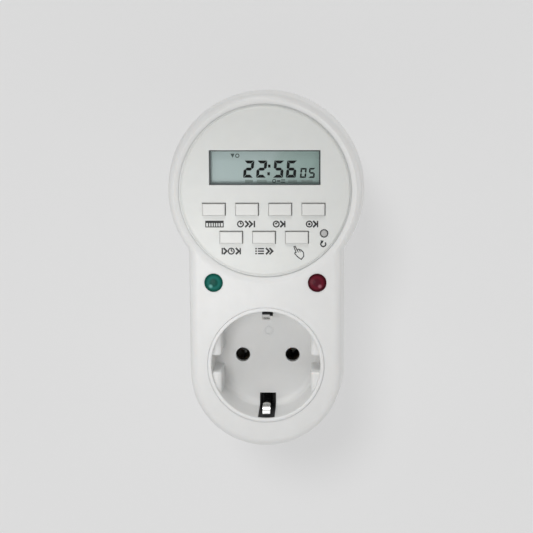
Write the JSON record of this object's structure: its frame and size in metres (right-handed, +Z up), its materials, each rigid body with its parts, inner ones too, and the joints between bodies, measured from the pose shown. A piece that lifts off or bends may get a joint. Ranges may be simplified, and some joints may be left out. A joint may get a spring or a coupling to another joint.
{
  "type": "plug-in digital timer socket",
  "caption": "Plug-in weekly digital timer: round display head with push keys over an earthed round socket outlet, plug at the back.",
  "frame": {"origin": "centre of the round plug body where it leaves the flat back of the case, on the axis of the round head", "axes": "+X to the right seen from the front, +Y out of the back along the plug, +Z up from the socket outlet to the display"},
  "size_m": [0.0728, 0.0769, 0.1328],
  "materials": {
    "case_plastic": "satin white moulded plastic",
    "disc_plastic": "satin white moulded plastic",
    "key_plastic": "satin white moulded plastic",
    "inner_plastic": "plain moulded plastic",
    "carrier_plastic": "dark moulded plastic",
    "window_clear": "clear polished plastic",
    "display_glass": "display glass",
    "reflector_film": "grey green film",
    "zebra_rubber": "striped elastomer",
    "board_laminate": "solder resist",
    "chip_plastic": "moulded epoxy",
    "crystal_metal": "plated can",
    "capacitor_ceramic": "ceramic body",
    "mat_rubber": "silicone",
    "green_plastic": "transparent green, unlit",
    "red_plastic": "transparent red, unlit",
    "led_epoxy": "clear epoxy",
    "contact_brass": "stamped",
    "spring_metal": "plated spring strip",
    "pin_metal": "nickel plated",
    "relay_plastic": "moulded case",
    "film_capacitor_plastic": "moulded box",
    "can_sleeve": "shrink sleeve",
    "varistor_coat": "dipped coating",
    "cell_metal": "plated can",
    "resistor_body": "lacquer",
    "screw_steel": "zinc plated"
  },
  "bodies": {
    "housing": {"front_cover": "case_plastic", "rear_cover": "case_plastic", "face_disc": "disc_plastic", "window_lens": "window_clear", "lcd_front_glass": "display_glass", "lcd_rear_glass": "display_glass", "lcd_reflector": "reflector_film", "lcd_frame": "inner_plastic", "zebra_strip": "zebra_rubber", "display_board": "board_laminate", "controller_chip": "chip_plastic", "crystal": "crystal_metal", "chip_capacitors": "capacitor_ceramic", "keypad_mat": "mat_rubber", "green_lens": "green_plastic", "red_lens": "red_plastic", "green_led": "led_epoxy", "red_led": "led_epoxy", "socket_cup": "case_plastic", "live_contact": "contact_brass", "neutral_contact": "contact_brass", "contact_carrier": "carrier_plastic", "contact_retainer": "inner_plastic", "earth_yoke": "spring_metal", "live_pin": "pin_metal", "neutral_pin": "pin_metal", "plug_earth_strap": "spring_metal", "earth_pin_sleeve": "spring_metal", "live_link": "contact_brass", "neutral_link": "contact_brass", "load_link": "contact_brass", "earth_link": "contact_brass", "power_board": "board_laminate", "header_body": "chip_plastic", "header_pins": "pin_metal", "relay_case": "relay_plastic", "relay_base": "chip_plastic", "dropper_capacitor": "film_capacitor_plastic", "smoothing_capacitors": "can_sleeve", "varistor": "varistor_coat", "backup_cell": "cell_metal", "rectifier_diodes": "chip_plastic", "resistors": "resistor_body", "relay_transistor": "chip_plastic", "case_screws": "screw_steel", "board_screws": "screw_steel", "retainer_screws": "screw_steel"},
    "key_week_body": {"key_week": "key_plastic"},
    "key_hour_body": {"key_hour": "key_plastic"},
    "key_minute_body": {"key_minute": "key_plastic"},
    "key_second_body": {"key_second": "key_plastic"},
    "key_clock_body": {"key_clock": "key_plastic"},
    "key_program_body": {"key_program": "key_plastic"},
    "key_manual_body": {"key_manual": "key_plastic"},
    "reset_body": {"reset_button": "key_plastic"}
  },
  "joints": [
    {"name": "key_week_press", "type": "slide", "parent": "housing", "child": "key_week_body", "axis": [0, 1, 0], "range_m": [0, 0.0008], "stiffness_N_per_m": 1500, "springref_m": -0.0002, "deforming": ["keypad_mat"]},
    {"name": "key_hour_press", "type": "slide", "parent": "housing", "child": "key_hour_body", "axis": [0, 1, 0], "range_m": [0, 0.0008], "stiffness_N_per_m": 1500, "springref_m": -0.0002, "deforming": ["keypad_mat"]},
    {"name": "key_minute_press", "type": "slide", "parent": "housing", "child": "key_minute_body", "axis": [0, 1, 0], "range_m": [0, 0.0008], "stiffness_N_per_m": 1500, "springref_m": -0.0002, "deforming": ["keypad_mat"]},
    {"name": "key_second_press", "type": "slide", "parent": "housing", "child": "key_second_body", "axis": [0, 1, 0], "range_m": [0, 0.0008], "stiffness_N_per_m": 1500, "springref_m": -0.0002, "deforming": ["keypad_mat"]},
    {"name": "key_clock_press", "type": "slide", "parent": "housing", "child": "key_clock_body", "axis": [0, 1, 0], "range_m": [0, 0.0008], "stiffness_N_per_m": 1500, "springref_m": -0.0002, "deforming": ["keypad_mat"]},
    {"name": "key_program_press", "type": "slide", "parent": "housing", "child": "key_program_body", "axis": [0, 1, 0], "range_m": [0, 0.0008], "stiffness_N_per_m": 1500, "springref_m": -0.0002, "deforming": ["keypad_mat"]},
    {"name": "key_manual_press", "type": "slide", "parent": "housing", "child": "key_manual_body", "axis": [0, 1, 0], "range_m": [0, 0.0008], "stiffness_N_per_m": 1500, "springref_m": -0.0002, "deforming": ["keypad_mat"]},
    {"name": "reset_press", "type": "slide", "parent": "housing", "child": "reset_body", "axis": [0, 1, 0], "range_m": [0, 0.0008], "stiffness_N_per_m": 1500, "springref_m": -0.0002, "deforming": ["keypad_mat"]}
  ]
}
